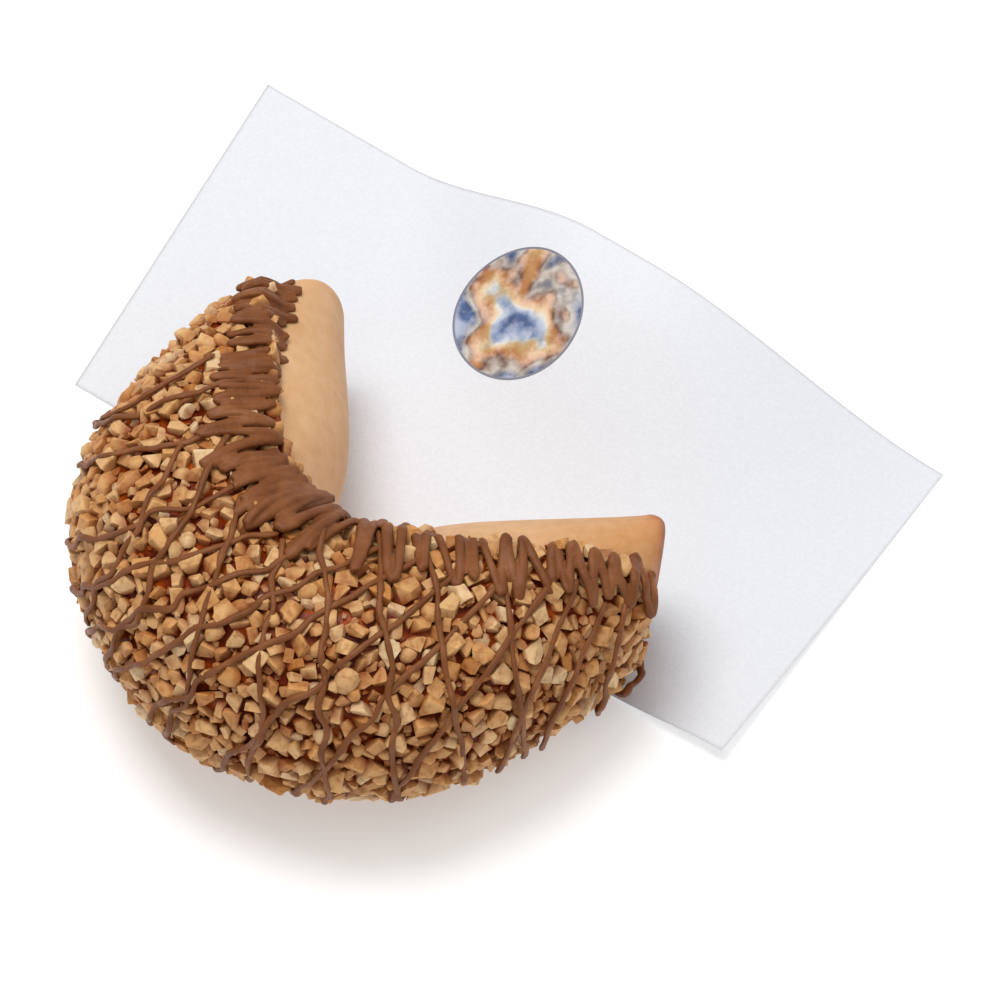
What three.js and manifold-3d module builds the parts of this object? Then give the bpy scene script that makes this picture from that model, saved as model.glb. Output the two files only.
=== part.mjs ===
// A giant dipped fortune cookie on its fortune sheet.
//
// A round wafer is folded in half, which leaves a puffed fold, and the fold is then bent over an
// edge, so that the folded half-disc becomes a fat crescent with two horns round a notch. The convex
// side is dipped in caramel and chopped peanuts, and milk chocolate is piped in a zigzag along the
// edge of the dip. The cookie lies on its side, its horns on a wavy sheet of paper.
//
// Millimetres, +Z up. X points along the right horn, Y along the far horn. The origin is on the
// surface the cookie lies on, below the centre of the whole part's box.

import * as THREE from 'three';
import { mergeVertices } from 'three/addons/utils/BufferGeometryUtils.js';
import Module from 'manifold-3d';

const wasm = await Module();
wasm.setup();

// ---- The folded and bent wafer ---------------------------------------------------------------
const FAR_HORN = 73.9;             // from the bend to the far horn's end, along the fold
const RIGHT_HORN = 82.9;           // from the bend to the right horn's end
const NOTCH_ANGLE = 85.4;          // degrees between the two horns
const BEND_SPAN = 0.33;            // share of each horn over which the fold bends
const BODY_DEPTH = 55.8;           // from the fold's middle line out to the seam, at the bend
const ARCH_POWER = 1.49;           // how full the outer arch is
const ARCH_REACH_FAR = 0.963;      // the arch would close just past the horns' ends
const ARCH_REACH_RIGHT = 0.985;
const FOLD_RADIUS = 10.4;          // the puffed fold, from its middle line to the notch
const FOLD_PINCH = 4.8;            // how much the bend crushes the fold
const PINCH_SPAN = 0.22;           // share of a horn that the crushed stretch takes
const FOLD_SWELL = 1.4;            // the far horn's fold is a little fuller halfway
const FOLD_FLARE = 1.0;            // and the right one's towards its end
const BODY_HALF = 29.1;            // half the body's thickness, at the bend
const HORN_HALF = 17.6;            // half a horn's thickness, at its end
const SWELL_POWER = 0.8;
const FOLD_POWER = 0.5;            // roundness of the section at the fold
const PINCH_POWER = 0.2;           // and how much sharper it is at the bend
const SEAM_POWER = 0.49;           // roundness of the section at the seam
const MOUTH_SLANT = 0.04;          // how far an open end leans back towards the seam
const MOUTH_LEAN = 0.02;           // and the right one's corner at the fold
const LEAN_SPAN = 0.03;
const WAFER_WALL = 2.8;

// ---- The dip ------------------------------------------------------------------------------------
const GAP = 0.45;                  // between the wafer and its coat
const CARAMEL = 3.4;
const LUMPS = 0.5;                 // unevenness of the caramel, up and down
const DIP_FAR = 7.0;               // the dip line's distance from the fold's middle line, far end
const DIP_BEND = 3.0;              // at the bend
const DIP_RIGHT = 11.0;            // at the right end
const DIP_BOW = 2.3;               // and how far it bows away between them
const DIP_END_FAR = 0.985;         // share of each horn that the dip reaches
const DIP_END_RIGHT = 0.96;
const FOOT_RADIUS = 13;            // the caramel pooled flat where the cookie lies
const FOOT_HEIGHT = 2.6;

// ---- Peanuts and chocolate ----------------------------------------------------------------------
const NUTS = 98;
const NUT_SIZE = 6.6;              // a large piece, corner to corner about 9
const NUT_DEPTH = 0.6;             // caramel under the deepest ones
const NUT_STAND = 0.5;             // their middles stand this high over the caramel
const NUT_SEED = 20;
const NUT_CANDIDATES = 24;         // places tried for each piece
const STRAND_RADIUS = 1.8;         // the piped chocolate
const STRAND_OVERHANG = 2.4;       // its loops reach past the dip line
const BAND_WIDTH = 15;
const ZIGZAG_SHARE = 0.97;        // of the dip line's length
const FRONT_RUNS = 44;
const BACK_RUNS = 18;

// ---- How the cookie lies ------------------------------------------------------------------------
const TILT = 8.2;                  // degrees that the horns' side is lower
const TURN = 3.1;                  // degrees about Z
const BEND_PLACE = new THREE.Vector3(-42.8, -48.36, 33.25);

// ---- The fortune sheet --------------------------------------------------------------------------
const SHEET_LENGTH = 211;          // its far edge in plan; flat it is 216
const SHEET_WIDTH = 104;
const SHEET_THICK = 0.3;
const SHEET_CLEARANCE = 0.35;       // between the sheet and the coat's flattened underside
const FAR_LEFT = new THREE.Vector2(-63.2, 113.17);
const FAR_RIGHT = new THREE.Vector2(110.26, -6.52);
const NEAR_LEFT = new THREE.Vector2(-110.26, 20.1);
const NEAR_RIGHT = new THREE.Vector2(52.31, -87.23);
const RIDGE_HEIGHT = 20;           // the soft wave across the sheet, highest at its far edge
const RIDGE_START = 45;
const RIDGE_RISE = 60;
const RIDGE_FALL = 90;
const RIDGE_FAN = 0.35;            // the wave moves along as it dies out towards the cookie
const RIDGE_REACH = 74;            // and is gone this far in from the far edge
const CORNER_LIFT = 5;
const FLOOR_SPAN = 400;            // the block that cuts the coat flat where it lies
const FLOOR_DEPTH = 10;

// ---- Fineness -----------------------------------------------------------------------------------
const ALONG = 26;                  // steps along the fold
const ROUND = 26;                  // steps round the wafer's section
const WALL_ALONG = 10;             // steps along its inner wall
const COAT_ROUND = 20;
const ROW_POWER = 1.25;
const SHORTEST_EDGE = 0.03;
const SHEET_ALONG = 18;
const SHEET_ACROSS = 6;

const radians = THREE.MathUtils.degToRad;
const clamp = THREE.MathUtils.clamp;
const lerp = THREE.MathUtils.lerp;
const softStep = (x) => THREE.MathUtils.smoothstep(x, 0, 1);

function seededRandom(seed) {
  let state = seed;
  return () => {
    state = (state * 1664525 + 1013904223) % 4294967296;
    return state / 4294967296;
  };
}

// The direction of the fold: two straight horns with an even turn between them.
function foldHeading(u) {
  const x = clamp(u / BEND_SPAN, -1, 1);
  return radians(-45 + (90 - NOTCH_ANGLE / 2) * (1.5 * x - 0.5 * x ** 3));
}

// The fold's middle line, summed up in short steps from the bend outwards.
const FOLD_STEPS = 200;

function foldLine(sign, reach) {
  const points = [new THREE.Vector2(0, 0)];
  for (let k = 0; k < FOLD_STEPS; k += 1) {
    const heading = foldHeading((sign * (k + 0.5)) / FOLD_STEPS);
    const step = (sign * reach) / FOLD_STEPS;
    points.push(points[k].clone().add(new THREE.Vector2(step * Math.cos(heading), step * Math.sin(heading))));
  }
  return points;
}

const farFold = foldLine(-1, FAR_HORN);
const rightFold = foldLine(1, RIGHT_HORN);

function foldPoint(u) {
  const points = u < 0 ? farFold : rightFold;
  const place = clamp(Math.abs(u), 0, 1) * FOLD_STEPS;
  const k = Math.min(Math.floor(place), FOLD_STEPS - 1);
  return points[k].clone().lerp(points[k + 1], place - k);
}

const pinch = (u) => Math.exp(-((u / PINCH_SPAN) ** 2));
const archReach = (u) => (u < 0 ? ARCH_REACH_FAR : ARCH_REACH_RIGHT);
const archDepth = (u) =>
  BODY_DEPTH * (1 - clamp(archReach(u) * Math.abs(u), 0, 0.999) ** ARCH_POWER) ** (1 / ARCH_POWER);
const foldSwell = (u) => (u < 0 ? FOLD_SWELL * Math.sin(Math.PI * Math.min(-u, 1)) ** 3 : FOLD_FLARE * u * u);
const foldRadius = (u) => FOLD_RADIUS - FOLD_PINCH * pinch(u) + foldSwell(u);
const halfThickness = (u) =>
  HORN_HALF + (BODY_HALF - HORN_HALF) * Math.max(0, 1 - u * u) ** SWELL_POWER;

// The section across the fold. The angle runs from 0 at the notch over the front to PI at the seam
// and back behind; grow moves the whole section outwards.
function sectionPoint(u, angle, grow) {
  const share = (1 - Math.cos(angle)) / 2;
  const foldPower = FOLD_POWER + PINCH_POWER * pinch(u);
  const peak = foldPower / (foldPower + SEAM_POWER);
  const profile = (x) => x ** foldPower * (1 - x) ** SEAM_POWER;
  const inner = -(foldRadius(u) + grow);
  const depth = inner + share * (archDepth(u) + grow - inner);
  const height = (halfThickness(u) + grow) * (profile(share) / profile(peak));
  return { depth, height: Math.sin(angle) >= 0 ? height : -height };
}

const lie = new THREE.Matrix4()
  .makeTranslation(BEND_PLACE.x, BEND_PLACE.y, BEND_PLACE.z)
  .multiply(new THREE.Matrix4().makeRotationZ(radians(45 + TURN)))
  .multiply(new THREE.Matrix4().makeRotationY(radians(TILT)))
  .multiply(new THREE.Matrix4().makeRotationZ(radians(-45)));

// A point of the cookie's surface, as the cookie lies.
function cookiePoint(u, angle, grow) {
  const { depth, height } = sectionPoint(u, angle, grow);
  const fold = foldPoint(u);
  const outwards = foldHeading(u) - Math.PI / 2;
  return new THREE.Vector3(
    fold.x + depth * Math.cos(outwards),
    fold.y + depth * Math.sin(outwards),
    height,
  ).applyMatrix4(lie);
}

// The surface's frame there: along the fold, round the section and out of the surface.
function cookieFrame(u, angle, grow) {
  const small = 0.004;
  const centre = cookiePoint(u, angle, grow);
  const along = cookiePoint(u + small, angle, grow).sub(cookiePoint(u - small, angle, grow)).normalize();
  const round = cookiePoint(u, angle + small, grow).sub(cookiePoint(u, angle - small, grow)).normalize();
  const out = new THREE.Vector3().crossVectors(round, along).normalize();
  return { centre, along, round, out };
}

// An open end leans back towards the seam, and the right one has a rounded corner at the fold.
function mouthReach(angle, level) {
  const share = (1 - Math.cos(angle)) / 2;
  const lean = level > 0 ? MOUTH_LEAN * Math.exp(-share / LEAN_SPAN) : 0;
  return 1 - MOUTH_SLANT * share ** 2 - lean;
}

// Rows of faces along the fold stand closer at the bend, where the arch is widest.
const rowLevel = (x) => Math.sign(2 * x - 1) * Math.abs(2 * x - 1) ** ROW_POWER;

// ---- Building blocks ----------------------------------------------------------------------------

// Collects faces and makes one closed geometry with its faces outwards.
class Skin {
  constructor() {
    this.positions = [];
    this.triangles = [];
  }

  grid(point, rows, columns) {
    const start = this.positions.length / 3;
    for (let i = 0; i <= rows; i += 1) {
      for (let j = 0; j <= columns; j += 1) {
        this.positions.push(...point(i / rows, j / columns).toArray());
      }
    }
    for (let i = 0; i < rows; i += 1) {
      for (let j = 0; j < columns; j += 1) {
        const a = start + i * (columns + 1) + j;
        const b = a + columns + 1;
        this.triangles.push(a, b, a + 1, a + 1, b, b + 1);
      }
    }
    return this;
  }

  geometry() {
    const loose = new THREE.BufferGeometry();
    loose.setAttribute('position', new THREE.Float32BufferAttribute(this.positions, 3));
    loose.setIndex(this.triangles);
    const merged = mergeVertices(loose, 1e-4);
    const index = merged.getIndex().array;
    const kept = [];
    for (let k = 0; k < index.length; k += 3) {
      const [a, b, c] = [index[k], index[k + 1], index[k + 2]];
      if (a !== b && b !== c && c !== a) kept.push(a, b, c);
    }
    merged.setIndex(kept);
    return facingOut(merged);
  }
}

function facingOut(geometry) {
  const index = Array.from(geometry.getIndex().array);
  const position = geometry.getAttribute('position');
  const [a, b, c] = [new THREE.Vector3(), new THREE.Vector3(), new THREE.Vector3()];
  let volume = 0;
  for (let k = 0; k < index.length; k += 3) {
    a.fromBufferAttribute(position, index[k]);
    b.fromBufferAttribute(position, index[k + 1]);
    c.fromBufferAttribute(position, index[k + 2]);
    volume += a.dot(b.cross(c)) / 6;
  }
  if (volume < 0) {
    for (let k = 0; k < index.length; k += 3) {
      [index[k + 1], index[k + 2]] = [index[k + 2], index[k + 1]];
    }
    geometry.setIndex(index);
  }
  return geometry;
}

function toSolid(geometry) {
  const bare = geometry.clone();
  bare.deleteAttribute('normal');
  bare.deleteAttribute('uv');
  const merged = mergeVertices(bare, 1e-4);
  const mesh = new wasm.Mesh({
    numProp: 3,
    vertProperties: new Float32Array(merged.getAttribute('position').array),
    triVerts: new Uint32Array(merged.getIndex().array),
  });
  return new wasm.Manifold(mesh);
}

function toGeometry(solid) {
  const mesh = solid.getMesh();
  const geometry = new THREE.BufferGeometry();
  geometry.setAttribute('position', new THREE.BufferAttribute(mesh.vertProperties, 3));
  geometry.setIndex(new THREE.BufferAttribute(mesh.triVerts, 1));
  return geometry;
}

// ---- Wafer: a bent tube, open at both horns' ends ---------------------------------------------

function waferGeometry() {
  const turn = 2 * Math.PI;
  const place = (x, y) => rowLevel(x) * mouthReach(turn * y, rowLevel(x));
  const wall = (grow) => (x, y) => cookiePoint(place(x, y), turn * y, grow);
  const outside = wall(0);
  const inside = wall(-WAFER_WALL);
  const rim = (x) => (y, z) => outside(x, y).lerp(inside(x, y), z);
  return new Skin()
    .grid(outside, ALONG, ROUND)
    .grid((x, y) => inside(x, 1 - y), WALL_ALONG, ROUND)
    .grid((y, z) => rim(0)(y, z), ROUND, 1)
    .grid((y, z) => rim(1)(1 - y, z), ROUND, 1)
    .geometry();
}

// ---- Coat: caramel from the dip line round the arch to the dip line behind --------------------

// The gap under the coat widens where the arch falls away to the horns' ends.
const gapAt = (u) => GAP * (1 + 1.6 * u ** 4);

function dipDepth(u) {
  const bow = DIP_BOW * Math.sin(Math.PI * Math.abs(u));
  return lerp(DIP_BEND, u < 0 ? DIP_FAR : DIP_RIGHT, Math.sqrt(Math.abs(u))) + bow;
}

function dipAngle(u) {
  const share = (dipDepth(u) + foldRadius(u)) / (archDepth(u) + foldRadius(u));
  return Math.acos(1 - 2 * clamp(share, 0, 0.93));
}

// A place on the coat: x runs from the far end to the right end, y from the front dip line over the
// arch to the one behind.
function coatPlace(x, y) {
  const level = clamp(rowLevel(x), -DIP_END_FAR, DIP_END_RIGHT);
  const start = dipAngle(level);
  const angle = lerp(start, 2 * Math.PI - start, y);
  return { u: level * mouthReach(angle, level), angle };
}

// The caramel is uneven, and thins out to a rounded edge.
function caramelThickness(x, y) {
  const edge = Math.min(y / 0.09, (1 - y) / 0.09, x / 0.04, (1 - x) / 0.04, 1);
  const lumps = LUMPS * edge * Math.sin(71 * x) * Math.sin(43 * y + 19 * x);
  return CARAMEL * (0.4 + 0.6 * Math.sqrt(edge * (2 - edge))) + lumps;
}

function caramelGeometry() {
  const outside = (x, y) => {
    const { u, angle } = coatPlace(x, y);
    return cookiePoint(u, angle, gapAt(u) + caramelThickness(x, y));
  };
  const inside = (x, y) => {
    const { u, angle } = coatPlace(x, y);
    return cookiePoint(u, angle, gapAt(u));
  };
  return new Skin()
    .grid(outside, ALONG, COAT_ROUND)
    .grid((x, y) => inside(x, 1 - y), ALONG, COAT_ROUND)
    .grid((y, z) => outside(0, y).lerp(inside(0, y), z), COAT_ROUND, 1)
    .grid((y, z) => outside(1, 1 - y).lerp(inside(1, 1 - y), z), COAT_ROUND, 1)
    .grid((x, z) => outside(1 - x, 0).lerp(inside(1 - x, 0), z), ALONG, 1)
    .grid((x, z) => outside(x, 1).lerp(inside(x, 1), z), ALONG, 1)
    .geometry();
}

// The lowest point of the coat behind the bend, where the caramel pools.
function lowestPlace() {
  let lowest = new THREE.Vector3(0, 0, Infinity);
  for (let i = 0; i <= 60; i += 1) {
    for (let j = 0; j <= 60; j += 1) {
      const { u, angle } = coatPlace(lerp(0.3, 0.7, i / 60), lerp(0.5, 1, j / 60));
      const point = cookiePoint(u, angle, GAP + CARAMEL);
      if (point.z < lowest.z) lowest = point;
    }
  }
  return lowest;
}

function footGeometry() {
  const profile = [
    new THREE.Vector2(0, 0),
    new THREE.Vector2(FOOT_RADIUS, 0),
    new THREE.Vector2(FOOT_RADIUS + 1, 0.8),
    new THREE.Vector2(FOOT_RADIUS - 2, FOOT_HEIGHT),
    new THREE.Vector2(0, FOOT_HEIGHT),
  ];
  const place = lowestPlace();
  const foot = new THREE.LatheGeometry(profile, 20);
  foot.rotateX(Math.PI / 2);
  foot.translate(place.x, place.y, 0);
  return foot;
}

// A chopped peanut: an uneven block with its corners moved about.
function nutGeometry(frame, random) {
  const length = NUT_SIZE * lerp(0.72, 1.12, random());
  const width = length * lerp(0.6, 0.95, random());
  const block = new THREE.BoxGeometry(length, width, length * lerp(0.55, 0.8, random()));
  block.deleteAttribute('normal');
  block.deleteAttribute('uv');
  const nut = mergeVertices(block, 1e-4);
  const position = nut.getAttribute('position');
  const jitter = () => lerp(0.62, 1.1, random());
  for (let k = 0; k < position.count; k += 1) {
    const [x, y, z] = [position.getX(k), position.getY(k), position.getZ(k)];
    position.setXYZ(k, x * jitter(), y * jitter(), z * jitter());
  }
  const stand = new THREE.Matrix4().makeBasis(frame.along, frame.round, frame.out);
  const roll = new THREE.Matrix4().makeRotationFromEuler(
    new THREE.Euler(lerp(-0.5, 0.5, random()), lerp(-0.5, 0.5, random()), random() * Math.PI * 2),
  );
  nut.applyMatrix4(roll).applyMatrix4(stand);
  nut.translate(frame.centre.x, frame.centre.y, frame.centre.z);
  return facingOut(nut);
}

// Pieces spread evenly over the coat: of many candidates, each new one is the farthest from the rest.
function nutFrames(random) {
  const frames = [];
  while (frames.length < NUTS) {
    let best = null;
    let bestRoom = -1;
    for (let k = 0; k < NUT_CANDIDATES; k += 1) {
      const { u, angle } = coatPlace(lerp(0.02, 0.98, random()), lerp(0.05, 0.95, random()));
      const frame = cookieFrame(u, angle, GAP + CARAMEL + NUT_STAND);
      const room = frames.reduce((near, other) => Math.min(near, other.centre.distanceTo(frame.centre)), 999);
      if (room > bestRoom) {
        best = frame;
        bestRoom = room;
      }
    }
    frames.push(best);
  }
  return frames;
}

// Walks round the section from an angle, for a distance over the surface.
function walkRound(u, angle, distance) {
  const step = 0.03 * Math.sign(distance);
  let left = Math.abs(distance);
  let place = angle;
  while (left > 0) {
    left -= cookiePoint(u, place + step, 0).distanceTo(cookiePoint(u, place, 0));
    place += step;
  }
  return place;
}

// One run of the zigzag: a short curved strand across the band, five-sided.
function runGeometry(start, finish, side) {
  const rings = 2;
  const corners = 5;
  const ring = (x) => {
    const u = lerp(start.u, finish.u, x);
    const angle = lerp(start.angle, finish.angle, x);
    const onCoat = softStep((Math.abs(angle - start.bare) * 20) / STRAND_OVERHANG - 0.2);
    const grow = 1.5 * gapAt(u) + STRAND_RADIUS + onCoat * CARAMEL;
    const { centre, along, out } = cookieFrame(u, side * angle, grow);
    const radius = STRAND_RADIUS * (x === 0 || x === 1 ? 0.72 : 1);
    return { centre, along, out, radius };
  };
  const point = (x, y) => {
    const { centre, along, out, radius } = ring(x);
    const turn = 2 * Math.PI * y;
    return centre
      .addScaledVector(along, radius * Math.cos(turn))
      .addScaledVector(out, radius * Math.sin(turn));
  };
  const cap = (x) => (y, z) => point(x, y).lerp(ring(x).centre, z);
  return new Skin()
    .grid(point, rings, corners)
    .grid(cap(0), corners, 1)
    .grid((y, z) => cap(1)(1 - y, z), corners, 1)
    .geometry();
}

function zigzagGeometries(runs, side) {
  const strands = [];
  const turnAt = (k) => {
    const level = ZIGZAG_SHARE * lerp(-DIP_END_FAR, DIP_END_RIGHT, k / runs);
    const bare = dipAngle(level);
    const overhang = walkRound(level, bare, -STRAND_OVERHANG);
    const angle = k % 2 === 0 ? overhang : walkRound(level, bare, BAND_WIDTH);
    return { u: level, angle: Math.min(angle, Math.PI - 0.25), bare: overhang };
  };
  for (let k = 0; k < runs; k += 1) {
    const start = turnAt(k);
    const finish = turnAt(k + 1);
    start.bare = (start.bare + finish.bare) / 2;
    strands.push(runGeometry(start, finish, side));
  }
  return strands;
}

function coatGeometry() {
  const random = seededRandom(NUT_SEED);
  const nuts = nutFrames(random).map((frame) => toSolid(nutGeometry(frame, random)));
  const zigzags = [...zigzagGeometries(FRONT_RUNS, 1), ...zigzagGeometries(BACK_RUNS, -1)];
  const coat = joined([
    toSolid(caramelGeometry()),
    toSolid(footGeometry()),
    joined(nuts).subtract(toSolid(coreGeometry())),
    ...zigzags.map(toSolid),
  ]);
  const floor = new THREE.BoxGeometry(FLOOR_SPAN, FLOOR_SPAN, FLOOR_DEPTH).translate(0, 0, -FLOOR_DEPTH / 2);
  const bed = joined([toSolid(floor), toSolid(sheetGeometry(SHEET_CLEARANCE))]);
  return toGeometry(mainBody(coat.subtract(bed).simplify(SHORTEST_EDGE)));
}

const joined = (solids) => wasm.Manifold.union(solids);

// Fills what the joined pieces seal off and drops loose scraps: only the largest skin stays.
function mainBody(solid) {
  return solid.decompose().reduce((most, part) => (part.volume() > most.volume() ? part : most));
}

// The space that a peanut may not sink into: the wafer, its gap and the caramel's first layer.
function coreGeometry() {
  const turn = 2 * Math.PI;
  const place = (x, y) => rowLevel(x) * mouthReach(turn * y, rowLevel(x));
  const outside = (x, y) => cookiePoint(place(x, y), turn * y, 2.6 * GAP + NUT_DEPTH);
  const middle = (x) => {
    const centre = new THREE.Vector3();
    for (let k = 0; k < ROUND; k += 1) centre.add(outside(x, k / ROUND));
    return centre.divideScalar(ROUND);
  };
  const ends = [middle(0), middle(1)];
  return new Skin()
    .grid(outside, ALONG, ROUND)
    .grid((y, z) => outside(0, y).lerp(ends[0], z), ROUND, 1)
    .grid((y, z) => outside(1, 1 - y).lerp(ends[1], z), ROUND, 1)
    .geometry();
}

// ---- Fortune sheet ------------------------------------------------------------------------------

function sheetPoint(x, y, lift) {
  const along = x * SHEET_LENGTH;
  const across = y * SHEET_WIDTH;
  const start = RIDGE_START + RIDGE_FAN * across;
  const ridge = softStep((along - start) / RIDGE_RISE) * softStep((SHEET_LENGTH - along) / RIDGE_FALL);
  const fade = 1 - softStep(across / RIDGE_REACH);
  const corner = CORNER_LIFT * (softStep((x - 0.75) / 0.25) * y) ** 2;
  const height = RIDGE_HEIGHT * ridge * fade + corner + lift;
  const near = NEAR_LEFT.clone().lerp(NEAR_RIGHT, x);
  const place = FAR_LEFT.clone().lerp(FAR_RIGHT, x).lerp(near, y);
  return new THREE.Vector3(place.x, place.y, height);
}

function sheetGeometry(swell) {
  const top = (x, y) => sheetPoint(x, y, SHEET_THICK + swell);
  const under = (x, y) => sheetPoint(x, y, -swell);
  return new Skin()
    .grid(top, SHEET_ALONG, SHEET_ACROSS)
    .grid((y, x) => under(x, y), SHEET_ACROSS, SHEET_ALONG)
    .grid((y, z) => top(0, y).lerp(under(0, y), z), SHEET_ACROSS, 1)
    .grid((y, z) => top(1, 1 - y).lerp(under(1, 1 - y), z), SHEET_ACROSS, 1)
    .grid((x, z) => top(1 - x, 0).lerp(under(1 - x, 0), z), SHEET_ALONG, 1)
    .grid((x, z) => top(x, 1).lerp(under(x, 1), z), SHEET_ALONG, 1)
    .geometry();
}

// ---- The part -----------------------------------------------------------------------------------

const waferMaterial = new THREE.MeshStandardMaterial({ color: 0xdcb080, roughness: 0.6, metalness: 0 });
const coatMaterial = new THREE.MeshStandardMaterial({ color: 0xb98a58, roughness: 0.5, metalness: 0 });
const paperMaterial = new THREE.MeshStandardMaterial({ color: 0xeef0f5, roughness: 0.8, metalness: 0 });

const cookie = new THREE.Group();

function addPiece(name, geometry, material) {
  geometry.computeVertexNormals();
  const mesh = new THREE.Mesh(geometry, material);
  mesh.name = name;
  cookie.add(mesh);
}

addPiece('wafer', waferGeometry(), waferMaterial);
addPiece('caramel_nut_coat', coatGeometry(), coatMaterial);
addPiece('fortune_sheet', sheetGeometry(0), paperMaterial);

export default cookie;
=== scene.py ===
"""A giant dipped fortune cookie on its fortune sheet.

The folded and bent wafer, its caramel, the chopped peanuts pressed into it, the piped milk chocolate
and the wavy paper sheet are surfaces worked out from the same named sizes as the solids. Lengths are
millimetres up to put_in_scene, which turns them into metres.
"""

import math

import bmesh
import bpy
import numpy as np
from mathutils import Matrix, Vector
from mathutils.bvhtree import BVHTree


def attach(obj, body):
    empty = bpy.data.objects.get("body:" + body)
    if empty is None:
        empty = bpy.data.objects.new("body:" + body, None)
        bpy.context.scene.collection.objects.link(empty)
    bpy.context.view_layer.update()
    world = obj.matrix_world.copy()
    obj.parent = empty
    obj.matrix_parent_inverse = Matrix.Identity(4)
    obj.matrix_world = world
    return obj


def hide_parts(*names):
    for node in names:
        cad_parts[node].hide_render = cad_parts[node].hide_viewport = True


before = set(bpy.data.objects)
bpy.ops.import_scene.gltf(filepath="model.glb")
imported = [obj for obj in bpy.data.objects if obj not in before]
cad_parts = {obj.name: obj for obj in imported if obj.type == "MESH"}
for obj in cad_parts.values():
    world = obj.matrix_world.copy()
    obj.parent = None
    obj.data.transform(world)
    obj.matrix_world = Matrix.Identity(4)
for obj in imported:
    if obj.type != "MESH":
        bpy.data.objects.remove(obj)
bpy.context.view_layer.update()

MM = 0.001
TURN = 2 * math.pi

# ---- The folded and bent wafer ----
FAR_HORN = 73.9  # from the bend to the far horn's end, along the fold
RIGHT_HORN = 82.9
NOTCH_ANGLE = 85.4  # degrees between the horns
BEND_HEADING = -45.0  # degrees; the fold's direction at the bend
BEND_SPAN = 0.33
BODY_DEPTH = 55.8  # from the fold's middle line out to the seam, at the bend
ARCH_POWER = 1.49
ARCH_REACH_FAR = 0.963
ARCH_REACH_RIGHT = 0.985
FOLD_RADIUS = 10.4
FOLD_PINCH = 4.8
PINCH_SPAN = 0.22
FOLD_SWELL = 1.4  # the far horn's fold is a little fuller halfway
FOLD_FLARE = 1.0  # and the right one's towards its end
BODY_HALF = 29.1  # half the thickness, at the bend
HORN_HALF = 17.6  # and at a horn's end
SWELL_POWER = 0.8
FOLD_POWER = 0.5
PINCH_POWER = 0.2
SEAM_POWER = 0.49
MOUTH_SLANT = 0.04
MOUTH_LEAN = 0.055  # the right mouth's corner at the fold is rounded
LEAN_SPAN = 0.33
WAFER_WALL = 2.8
TILT = 8.2  # degrees that the horns' side is lower
SWING = 3.1  # degrees about Z
BEND_PLACE = np.array([-42.8, -48.36, 33.25])
LIP_BAKE_FAR = 0.3  # how dark each lip is baked
LIP_BAKE_RIGHT = 0.95
LIP_BAKE_DEPTH = 1.8
HORN_BAKE_FAR = 0.13  # and how dark each horn is by its end
HORN_BAKE_RIGHT = 0.46
INSIDE_BAKE = 0.25

# ---- The dip ----
GAP = 0.45
GAP_GROWTH = 1.6  # how much wider the gap is at the horns' ends
CARAMEL = 2.1
THIN_EDGE = 0.35  # the share of its thickness that the caramel has at its edges
DIP_FAR = 7.0  # the dip line's distance from the fold's middle line
DIP_BEND = 3.0
DIP_RIGHT = 11.0
DIP_BOW = 2.3
DIP_END_FAR = 0.985
DIP_END_RIGHT = 0.96
FOOT_PLACE = (-19.9, -73.9)  # where the caramel pooled flat
FOOT_RADIUS = 13.0
FOOT_RIM = 3.0
FOOT_FADE = 4.0
FOOT_TOP = 12.0  # caramel higher than this isn't drawn down
FOOT_SINK = 0.03  # the caramel's flat foot lies this much lower than the peanuts'
ON_FLOOR = 0.04  # where flattened things lie above the floor
ON_SHEET = 0.15  # and above the sheet

# ---- Peanuts ----
NUT_SEED = 11
# For each throw: its darts, the largest and smallest radius, the spacing as a share of both radii,
# and the most that stay.
LARGE = (5000, 2.35, 1.9, 0.92, 300)
MEDIUM = (9000, 1.9, 1.35, 0.9, 960)
SMALL = (12000, 1.4, 0.9, 0.89, 1300)
CRUMBS = (7000, 0.85, 0.45, 0.95, 560)
NUT_STRETCH = ((1.05, 1.4), (0.85, 1.1), (0.6, 0.95))  # length, width and height, in radii
NUT_STAND = 0.5  # how much of its height a piece's middle stands above the caramel
NUT_TILT = 0.38
UPENDED = 0.14  # the share of pieces that are tilted further, and by how much
UPEND_TILT = 0.8
GLAZE_AND_SHADE_DEPTH = 1.7  # how far up a piece the caramel's colour creeps, which is also painted shade low on each piece
NUT_CREASE = 28  # degrees from which an edge is sharp
BARE_EDGE = 0.024  # along the far horn the peanuts keep back from the dip line
BARE_UNTIL = 0.36
STRAYS = 44  # peanuts that stuck to the bare wafer by the bend
STRAY_ALONG = (-0.06, 0.27)
STRAY_OFF = (0.6, 8.0)  # how far they lie from the dip line
STRAY_RADIUS = (1.1, 2.1)
STRAY_BASE = 0.3
BEND_HEAP = 2.6  # how much higher the strays and the chocolate's loops stand by the bend
STRAY_HEAP = (0.1, 0.09)  # where along the fold they do, and how far to either side
LOOP_HEAP = (0.14, 0.13)

# ---- Chocolate ----
STRAND_RADII = (1.02, 1.25, 1.25, 1.18)  # it is thickest at the bend, where the loops run together
STRAND_LEVELS = (-0.35, -0.15, 0.2, 0.35)
SLANT = 0.035  # how much further along the far horn's loops lie at their outer ends
STRAND_ENDS = (-0.97, 0.95)
POINTS_A_LOOP = 26
ARCSINE = 0.84  # how nearly a swing goes to and fro at one speed
MELT_FRONT = 0.34  # the grid on which touching strands run together
MELT_BACK = 0.42
DRIZZLE_RADIUS = 0.76
DRIZZLE_STEP = 0.7
DRIZZLE_BACK = 8.0  # a thin line starts this far back, under the zigzag
DRIZZLE_UNDER = 14.0  # and goes on this far under the cookie's edge
DRIZZLE_ENDS = (-0.955, 0.935)

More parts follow.
